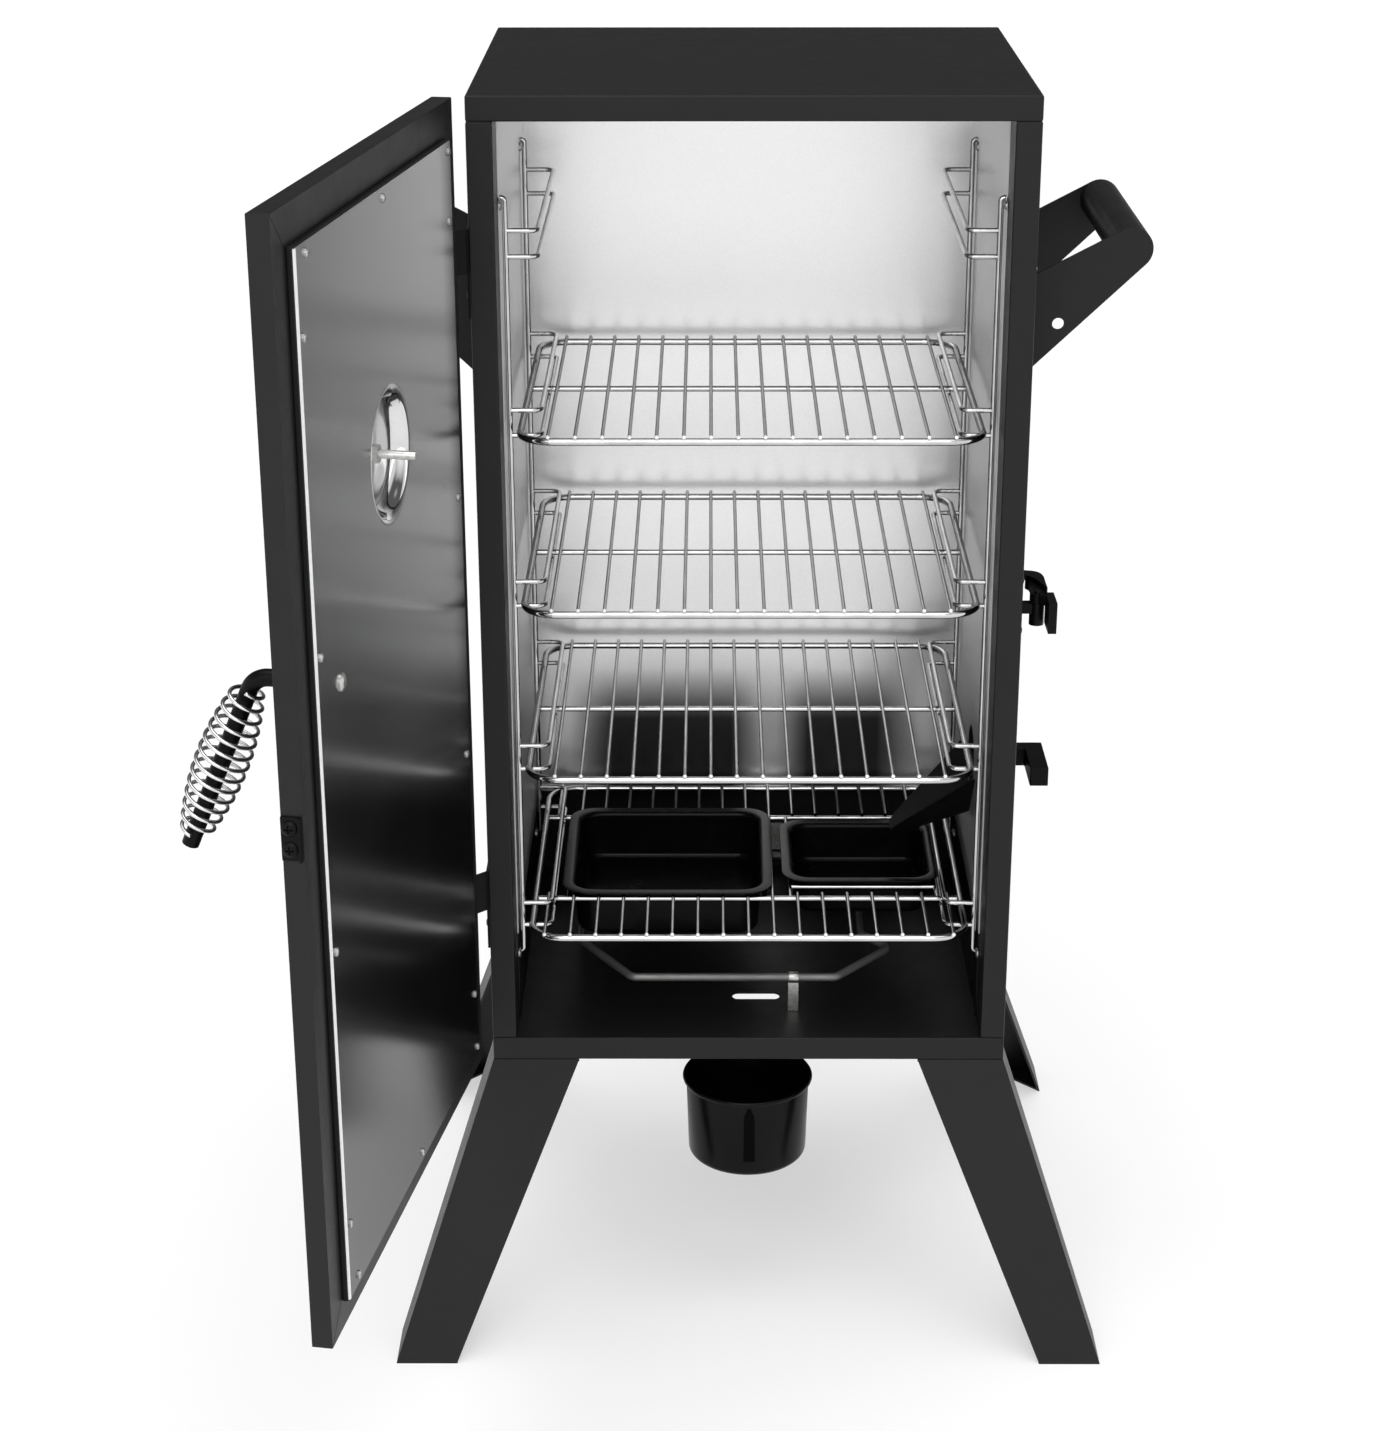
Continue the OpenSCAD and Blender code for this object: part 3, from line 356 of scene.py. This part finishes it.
@material("spring_steel")
def _(n, s):
    at = n.coords()
    n.set(s, "Metallic", 1.0)
    n.set(s, "Base Color", n.mottle(at, 80.0, grey(0.62), grey(0.76)))
    n.set(s, "Roughness", n.spread(n.noise(at, 260.0, 3.0), 0.14, 0.26))
    n.set(s, "Normal", n.bump(n.noise(at, 1500.0, 2.0), 0.00003, 0.3))


@material("wool")
def _(n, s):
    at = n.coords((1.0, 1.0, 0.25))
    fibres = n.noise(at, 420.0, 6.0, 0.7)
    pale, deep = (0.78, 0.70, 0.46, 1), (0.55, 0.46, 0.26, 1)
    n.set(s, "Base Color", n.blend(n.spread(fibres, 0.0, 1.0), deep, pale))
    n.set(s, "Roughness", 0.95)
    n.set(s, "Normal", n.bump(fibres, 0.002, 0.8))


@material("tab_black")
def _(n, s):
    powder(n, s, grey(0.0008), grey(0.0014), (0.50, 0.62), 0.3, 0.03)


@material("inlet_plastic")
def _(n, s):
    powder(n, s, grey(0.010), grey(0.014), (0.42, 0.55), 0.5, 0.45)


@material("dial_white")
def _(n, s):
    at = n.coords()
    n.set(s, "Base Color", n.mottle(at, 30.0, (0.80, 0.80, 0.77, 1), (0.86, 0.86, 0.84, 1)))
    n.set(s, "Roughness", n.spread(n.noise(at, 200.0), 0.45, 0.6))
    n.set(s, "Normal", n.bump(n.noise(at, 900.0), 0.00003, 0.3))


@material("needle_red")
def _(n, s):
    at = n.coords()
    dark, light = (0.42, 0.02, 0.012, 1), (0.55, 0.04, 0.02, 1)
    n.set(s, "Base Color", n.blend(n.noise(at, 200.0), dark, light))
    n.set(s, "Roughness", n.spread(n.noise(at, 300.0), 0.3, 0.45))


@material("glass_clear")
def _(n, s):
    at = n.coords()
    n.set(s, "Base Color", (0.95, 0.97, 0.98, 1))
    n.set(s, "Transmission Weight", 1.0)
    n.set(s, "Roughness", n.spread(n.noise(at, 60.0), 0.01, 0.04))
    n.set(s, "IOR", 1.45)


LOOK = {}


def looks(mat, *names):
    for name in names:
        LOOK[name] = mat


looks(
    "powder_black",
    "side_panel_left", "side_panel_right", "rear_panel", "top_cap", "base_pan",
    "leg_front_left", "leg_front_right", "leg_rear_left", "leg_rear_right",
    "side_handle_left", "side_handle_right", "cup_hanger", "terminal_box", "loader_sleeve",
)
looks("powder_door", "door_pan", "door_inner_frame")
looks(
    "cast_black",
    "latch_bracket", "latch_lever", "cabinet_hinge_leaves", "door_hinge_leaves", "catch_plate",
    "catch_screws", "body_screws", "loader_handle", "handle_rod",
)
looks("heat_black", "lower_liner", "chip_chute", "loader_scoop")
looks("enamel_black", "water_pan", "chip_tray", "grease_cup")
looks("liner_bright", "liner_ceiling")
looks("rear_liner_bright", "liner_rear")
looks("side_liner_bright", "liner_left", "liner_right")
looks("door_liner_bright", "door_liner")
looks("dish_bright", "thermometer_seat")
looks("chrome_rod", "rack_support_left", "rack_support_right")
looks("chrome_wire", "upper_grate", "middle_grate", "lower_grate", "pan_rack")
looks(
    "zinc",
    "leg_bolts", "support_screws", "liner_screws", "handle_bolt", "element_clip",
    "element_flange", "hinge_pins", "thermometer_case", "thermometer_stem",
)
looks("element_grey", "heating_element")
looks("spring_steel", "handle_spring")
looks("wool", "insulation", "door_insulation")
looks("inlet_plastic", "power_inlet")
looks("dial_white", "thermometer_dial")
looks("needle_red", "thermometer_needle")
looks("glass_clear", "thermometer_lens")


def dress(obj, name):
    obj.data.materials.clear()
    obj.data.materials.append(MATERIALS[name])


for node_name, obj in NODES.items():
    dress(obj, LOOK[node_name])


# ---------------------------------------------------------------- edges of the CAD nodes

def ease(name, width, segments=2, angle=32.0):
    """Rounds a CAD node's edges with modifiers only."""
    obj = NODES[name]
    weld = obj.modifiers.new("weld", "WELD")
    weld.merge_threshold = 0.00002
    if width > 0:
        bevel = obj.modifiers.new("bevel", "BEVEL")
        bevel.width = width
        bevel.segments = segments
        bevel.limit_method = "ANGLE"
        bevel.angle_limit = math.radians(angle)
        bevel.use_clamp_overlap = True
        bevel.harden_normals = True
        bevel.miter_outer = "MITER_ARC"


EASED = {
    0.0016: ["top_cap", "base_pan", "side_panel_left", "side_panel_right"],
    0.0009: [
        "door_pan", "door_inner_frame",
        "leg_front_left", "leg_front_right", "leg_rear_left", "leg_rear_right",
        "side_handle_left", "side_handle_right", "loader_handle", "terminal_box",
    ],
    0.0004: [
        "latch_bracket", "cabinet_hinge_leaves", "door_hinge_leaves", "catch_plate",
        "chip_chute", "loader_scoop", "loader_sleeve", "cup_hanger",
        "element_clip", "thermometer_case", "thermometer_stem", "power_inlet", "latch_lever",
    ],
}
for width, names in EASED.items():
    for node_name in names:
        ease(node_name, width)


# ---------------------------------------------------------------- mesh helpers

def add_piece(name, mesh, body, look, replaces=(), smooth=True):
    obj = bpy.data.objects.new(name, mesh)
    scene.collection.objects.link(obj)
    dress(obj, look)
    if smooth:
        for face in mesh.polygons:
            face.use_smooth = True
    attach(obj, body)
    if replaces:
        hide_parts(*replaces)
    return obj


def mesh_from(name, verts, faces):
    mesh = bpy.data.meshes.new(name)
    mesh.from_pydata([tuple(v) for v in verts], [], faces)
    mesh.update()
    return mesh


def turn_outward(mesh):
    """Makes all the face normals point out of the solid."""
    bm = bmesh.new()
    bm.from_mesh(mesh)
    bmesh.ops.recalc_face_normals(bm, faces=bm.faces)
    bm.to_mesh(mesh)
    bm.free()
    return mesh


def tube(points, radius, sides=14, closed=False):
    """Vertices and faces of a round tube along points, with flat caps when it is open."""
    n = len(points)
    verts, faces = [], []
    tangents = []
    for i in range(n):
        a = points[(i - 1) % n] if closed or i > 0 else points[i]
        b = points[(i + 1) % n] if closed or i < n - 1 else points[i]
        tangents.append((b - a).normalized())
    normal = tangents[0].orthogonal().normalized()
    for i in range(n):
        normal = (normal - tangents[i] * normal.dot(tangents[i])).normalized()
        side = tangents[i].cross(normal)
        for k in range(sides):
            a = 2 * math.pi * k / sides
            verts.append(points[i] + radius * (math.cos(a) * normal + math.sin(a) * side))
    rows = n if closed else n - 1
    for i in range(rows):
        j = (i + 1) % n
        for k in range(sides):
            m = (k + 1) % sides
            faces.append((i * sides + k, i * sides + m, j * sides + m, j * sides + k))
    if not closed:
        faces.append(tuple(reversed(range(sides))))
        faces.append(tuple((n - 1) * sides + k for k in range(sides)))
    return verts, faces


def lathe(profile, sides, place):
    """A closed turned solid from (radius, height) points; place puts it in the world."""
    verts, faces, rings = [], [], []
    for r, h in profile:
        if r < 1e-7:
            rings.append([len(verts)])
            verts.append(place @ Vector((0, 0, h)))
        else:
            rings.append(list(range(len(verts), len(verts) + sides)))
            for k in range(sides):
                a = 2 * math.pi * k / sides
                verts.append(place @ Vector((r * math.cos(a), r * math.sin(a), h)))
    for i in range(len(rings)):
        a, b = rings[i], rings[(i + 1) % len(rings)]
        if len(a) == 1 and len(b) == 1:
            continue
        for k in range(sides):
            m = (k + 1) % sides
            if len(a) == 1:
                faces.append((a[0], b[m], b[k]))
            elif len(b) == 1:
                faces.append((a[k], a[m], b[0]))
            else:
                faces.append((a[k], a[m], b[m], b[k]))
    return verts, faces


def arc(cx, cy, r, start, end, steps):
    """Points of an arc in degrees, both ends included."""
    return [
        (
            cx + r * math.cos(math.radians(start + (end - start) * i / steps)),
            cy + r * math.sin(math.radians(start + (end - start) * i / steps)),
        )
        for i in range(steps + 1)
    ]


# ---------------------------------------------------------------- door thermometer seat

def door_place(x, y, z, turn=-90.0):
    """Local +Z to the closed door's inward normal at (x, y, z), then swung open."""
    return DOOR_TURN @ Matrix.Translation((x, y, z)) @ Matrix.Rotation(math.radians(turn), 4, "X")


def make_seat():
    """A pressed dish: the plate rolls smoothly over into a steep wall and a shallow bowl."""
    t = 0.0006
    profile = [
        (46.6, 0.10), (45.8, 0.10), (45.0, 0.0), (44.2, -0.22), (43.4, -0.6), (42.6, -1.1),
        (41.9, -1.75), (41.3, -2.5), (40.7, -3.4), (40.1, -4.4), (39.5, -5.4), (38.8, -6.4),
        (37.9, -7.4), (36.8, -8.4), (35.3, -9.3), (33.3, -10.1), (30.6, -10.8), (27.0, -11.35),
        (22.0, -11.75), (16.0, -11.95), (9.0, -12.05), (0.0, -12.05),
    ]
    upper = [(r * MM, h * MM) for r, h in profile]
    lower = [(max(r - 0.0002, 0.0), h - t) for r, h in reversed(upper)]
    verts, faces = lathe(upper + lower, 96, door_place(GAUGE[0], PLATE_Y + LINER_T, GAUGE[1]))
    add_piece(
        "thermometer_dish", mesh_from("thermometer_dish", verts, faces), "door",
        "dish_bright", ["thermometer_seat"],
    )


make_seat()


def make_liner_edge():
    """The cut edge of the door liner, down the free side of the door, in flat white: a painted
    highlight.
    """
    x0, x1 = PLATE_X - 0.0018, PLATE_X + 0.0003
    y0, y1 = PLATE_Y - 0.0002, PLATE_Y + LINER_T + 0.0003
    z0, z1 = PLATE_Z[0] + 0.0005, PLATE_Z[1] - 0.0005
    verts = [
        DOOR_TURN @ Vector((x, y, z))
        for x, y in ((x0, y0), (x1, y0), (x1, y1), (x0, y1)) for z in (z0, z1)
    ]
    faces = [
        (0, 2, 3, 1), (2, 4, 5, 3), (4, 6, 7, 5), (6, 0, 1, 7), (0, 6, 4, 2), (1, 3, 5, 7),
    ]
    add_piece(
        "liner_edge", mesh_from("liner_edge", verts, faces), "door", "painted_highlight_white",
        smooth=False,
    )


make_liner_edge()


# ---------------------------------------------------------------- wound grip of the door handle

def make_grip():
    """A barrel-shaped coil of round wire round the lower leg of the rod."""
    bolt_x, bolt_z = BOLT
    top = Vector((0, DOOR_IN_Y - 0.0519, bolt_z))
    end = Vector((0, DOOR_IN_Y - 0.1022, bolt_z - 0.119))
    along = (end - top).normalized()
    start = top + along * 0.009
    across = Vector((1, 0, 0))
    third = along.cross(across).normalized()
    turns, per_turn, long = 13, 40, 0.110
    total = turns * per_turn
    points = []
    for i in range(total + 1):
        f = i / total
        a = 2 * math.pi * i / per_turn
        r = 0.009 + 0.0078 * math.sin(math.pi * f) ** 0.8
        p = start + along * (f * long) + r * (math.cos(a) * across - math.sin(a) * third)
        points.append(DOOR_TURN @ (p + Vector((bolt_x, 0, 0))))
    verts, faces = tube(points, 0.0014, 12)
    add_piece(
        "grip_coil", mesh_from("grip_coil", verts, faces), "door",
        "spring_steel", ["handle_spring"],
    )


make_grip()


# ---------------------------------------------------------------- dark rings at the tops of the support rods

def make_rod_rings():
    """Dark rings where the tops of the support rods go into the side liners."""
    liner_face = 0.1862
    for side, where in ((-1, "left"), (1, "right")):
        verts, faces = [], []
        for y in ROD_Y:
            centre = Vector((side * liner_face, y, ROD_TOP_Z))
            points = [
                centre + 0.0044 * Vector((0, math.cos(a), math.sin(a)))
                for a in (2 * math.pi * k / 28 for k in range(28))
            ]
            ring_verts, ring_faces = tube(points, 0.0011, 8, closed=True)
            faces += [tuple(i + len(verts) for i in face) for face in ring_faces]
            verts += ring_verts
        name = "dark_rod_rings_" + where
        add_piece(name, mesh_from(name, verts, faces), "cabinet", "tab_black")


make_rod_rings()


# ---------------------------------------------------------------- enamel pans

def ring(cx, cy, hx, hy, r, z, seg=8):
    """A rounded rectangle of points, counter-clockwise from above."""
    out = []
    for sx, sy, first in ((1, 1, 0), (-1, 1, 90), (-1, -1, 180), (1, -1, 270)):
        for i in range(seg + 1):
            a = math.radians(first + 90 * i / seg)
            out.append(Vector((
                cx + sx * (hx - r) + r * math.cos(a),
                cy + sy * (hy - r) + r * math.sin(a),
                z,
            )))
    return out


def make_pan(name, x, y, rim, deep, corner, node):
    """A pressed pan with a flat rim, rolled edges, drafted walls and filleted bottom."""
    t = 1.2
    rim_z = (BASE_Z + 0.1101) / MM
    draft = 2.5
    low = 6.0
    profile = [(rim + draft + low, -deep)]
    profile += arc(rim + draft + low, -deep + low, low, 270, 180, 8)
    profile += [(rim + 0.6, -3.5), (rim, -1.2), (rim - 1.4, -0.1), (0.9, 0.0)]
    profile += arc(0.6, 0.6, 0.6, 270, 90, 6)
    profile += [(rim - 3.2, 1.2)]
    profile += arc(rim - 2.6, -2.6, 3.8, 90, 0, 8)
    profile += [(rim + t + draft * 0.85, -deep + t + low + 1)]
    profile += arc(rim + t + draft + low, -deep + t + low, low, 180, 270, 9)
    cx, cy = (x[0] + x[1]) / 2, (y[0] + y[1]) / 2
    hx, hy = (x[1] - x[0]) / 2, (y[1] - y[0]) / 2
    verts, faces = [], []
    count = 0
    for u, h in profile:
        points = ring(cx, cy, hx - u, hy - u, max(corner - 0.5 * u, 3.0), rim_z + h)
        count = len(points)
        verts += [p * MM for p in points]
    rows = len(profile)
    for i in range(rows - 1):
        for k in range(count):
            m = (k + 1) % count
            faces.append((i * count + k, (i + 1) * count + k, (i + 1) * count + m, i * count + m))
    faces.append(tuple(range(count)))
    faces.append(tuple((rows - 1) * count + k for k in reversed(range(count))))
    mesh = turn_outward(mesh_from(name, verts, faces))
    add_piece(name, mesh, node, "enamel_black", [node])


YF = FRONT_Y / MM
make_pan("enamel_water_pan", (-152, 20.5), (YF + 77, YF + 253), 9, 42, 22, "water_pan")
make_pan("enamel_chip_tray", (28.5, 160), (YF + 101, YF + 228), 9, 34, 20, "chip_tray")


# ---------------------------------------------------------------- ends of the grate wires, white as a painted highlight

def make_tips(body, level, count, pitch):
    """Small domed ends where the front-to-back wires stop on the front bar."""
    frame_top, wire_middle = 0.0076, 0.00105
    z = LEVEL_0_Z + LEVEL_STEP * level + frame_top + wire_middle
    y = FRONT_Y + (8 - 1.6) * MM
    r, sides = 0.00155, 12
    verts, faces = [], []
    for i in range(count):
        x = (i - (count - 1) / 2) * pitch * MM
        base = len(verts)
        for h, w in ((0.0004, 1.0), (0.0, 1.0), (-0.0005, 0.86), (-0.0009, 0.5)):
            for k in range(sides):
                a = 2 * math.pi * k / sides
                verts.append(Vector((x + r * w * math.cos(a), y + h, z + r * w * math.sin(a))))
        verts.append(Vector((x, y - 0.001, z)))
        for row in range(3):
            for k in range(sides):
                m = (k + 1) % sides
                a, b = base + row * sides, base + (row + 1) * sides
                faces.append((a + k, a + m, b + m, b + k))
        last = base + 3 * sides
        for k in range(sides):
            faces.append((last + k, last + (k + 1) % sides, base + 4 * sides))
        faces.append(tuple(base + k for k in reversed(range(sides))))
    # the domed ends are dressed in flat white, a painted highlight
    add_piece(
        body + "_tips", mesh_from(body + "_tips", verts, faces), body, "painted_highlight_white",
    )


make_tips("upper_grate", 3, 16, 20.2)
make_tips("middle_grate", 2, 16, 20.2)
make_tips("lower_grate", 1, 16, 20.2)
make_tips("pan_rack", 0, 17, 20.3)


# ---------------------------------------------------------------- grease cup

def make_cup():
    """A spun cup with a rolled bead, a rounded foot, and a thin tab down its front."""
    h, t = 0.071, 0.0008
    centre = Vector((0, CUP_Y, CUP_RIM_Z - h))
    place = Matrix.Translation(centre)
    r0, r1, bead = 0.0485, 0.0503, 0.0533
    outer = [(0.0, 0.0006), (0.030, 0.0006), (0.040, 0.0)]
    outer += arc(r0 - 0.006, 0.006, 0.006, 270, 360, 8)
    outer += [(r1, h - 0.0042)]
    outer += arc(bead - 0.0021, h - 0.0021, 0.0021, 240, 430, 14)
    outer += [(r1 - t, h - 0.0040)]
    inner = arc(r0 - t - 0.0055, 0.0055 + t, 0.0055, 360, 270, 8)
    inner += [(0.0, t)]
    verts, faces = lathe(outer + inner, 96, place)
    add_piece(
        "spun_cup", mesh_from("spun_cup", verts, faces), "grease_cup",
        "enamel_black", ["grease_cup"],
    )
    outline = [
        (-0.0004, 0.0), (-0.0033, -0.008), (-0.0037, -0.048), (0.0057, -0.048), (0.0051, -0.008),
        (0.0022, 0.0),
    ]
    rim_r = r1 + 0.0006
    verts, faces = [], []
    for depth in (0.0, 0.0012):
        for x, z in outline:
            r = rim_r + depth
            verts.append(centre + Vector((x, -math.sqrt(r * r - x * x), h - 0.0065 + z)))
    faces.append(tuple(range(6)))
    faces.append(tuple(6 + k for k in reversed(range(6))))
    for k in range(6):
        m = (k + 1) % 6
        faces.append((k, k + 6, m + 6, m))
    mesh = turn_outward(mesh_from("cup_tab", verts, faces))
    tab = add_piece("cup_tab", mesh, "grease_cup", "tab_black", smooth=False)
    bevel = tab.modifiers.new("bevel", "BEVEL")
    bevel.width = 0.0004
    bevel.segments = 2


make_cup()


# ---------------------------------------------------------------- floor, lights, world

def make_stage():
    size = 14.0
    mesh = mesh_from(
        "floor",
        [(-size, -size, 0), (size, -size, 0), (size, size, 0), (-size, size, 0)],
        [(0, 1, 2, 3)],
    )
    floor = bpy.data.objects.new("floor", mesh)
    scene.collection.objects.link(floor)
    mat = bpy.data.materials.new("floor_pale")
    mat.use_nodes = True
    n = Nodes(mat.node_tree)
    out = n.add("ShaderNodeOutputMaterial")
    shader = n.add("ShaderNodeBsdfPrincipled")
    n.set(out, "Surface", shader.outputs["BSDF"])
    n.set(shader, "Base Color", (0.52, 0.52, 0.52, 1))
    n.set(shader, "Emission Color", (1.0, 1.0, 1.0, 1))
    n.set(shader, "Emission Strength", 0.50)
    n.set(shader, "Roughness", 0.9)
    n.set(shader, "Specular IOR Level", 0.1)
    mesh.materials.append(mat)

    world = bpy.data.worlds.new("studio")
    world.use_nodes = True
    scene.world = world
    n = Nodes(world.node_tree)
    out = n.add("ShaderNodeOutputWorld")
    back = n.add("ShaderNodeBackground")
    n.set(out, "Surface", back.outputs["Background"])
    # a soft studio: white cyclorama below, a broad front panel, side panels, and a dim rear
    where = n.add("ShaderNodeTexCoord").outputs["Generated"]
    split = n.add("ShaderNodeSeparateXYZ", {"Vector": where})
    x, y, z = split.outputs

    across = n.math("ABSOLUTE", x)
    ahead = n.spread(y, 1.0, 0.0, -0.7, -0.1)
    not_rear = n.spread(y, 1.0, 0.0, 0.35, 0.75)
    beside = n.spread(across, 0.0, 1.0, 0.74, 0.86)
    front = n.math("MULTIPLY", ahead, n.window(z, 0.0, 0.06, 0.66, 0.8))
    side = n.math("MULTIPLY", beside, n.window(z, 0.0, 0.06, 0.42, 0.6))
    top = n.math("MULTIPLY", n.spread(z, 0.0, 1.0, 0.80, 0.92), 2.7)
    light = n.math("MAXIMUM", n.math("MULTIPLY", front, 1.1), n.math("MULTIPLY", side, 0.9))
    light = n.math("MAXIMUM", light, top)
    horizon = n.math("MULTIPLY", not_rear, n.window(z, -0.02, 0.0, 0.12, 0.24))
    light = n.math("MAXIMUM", light, n.math("MULTIPLY", horizon, 1.9))
    light = n.math("MAXIMUM", light, 0.12)
    below = n.spread(z, 1.0, 0.0, -0.02, 0.03)
    light = n.math("MAXIMUM", light, below)
    n.set(back, "Strength", light)
    back.inputs["Color"].default_value = (1.0, 1.0, 1.0, 1.0)


def area_light(name, place, target, size, power):
    data = bpy.data.lights.new(name, "AREA")
    data.shape = "RECTANGLE"
    data.size, data.size_y = size
    data.energy = power
    obj = bpy.data.objects.new(name, data)
    scene.collection.objects.link(obj)
    obj.location = place
    obj.rotation_euler = (Vector(target) - Vector(place)).to_track_quat("-Z", "Y").to_euler()


make_stage()
area_light("key", (-0.6, -3.0, 2.5), (0, 0, 0.6), (2.2, 1.4), 30)
scene.view_settings.view_transform = "Standard"
scene.view_settings.look = "None"
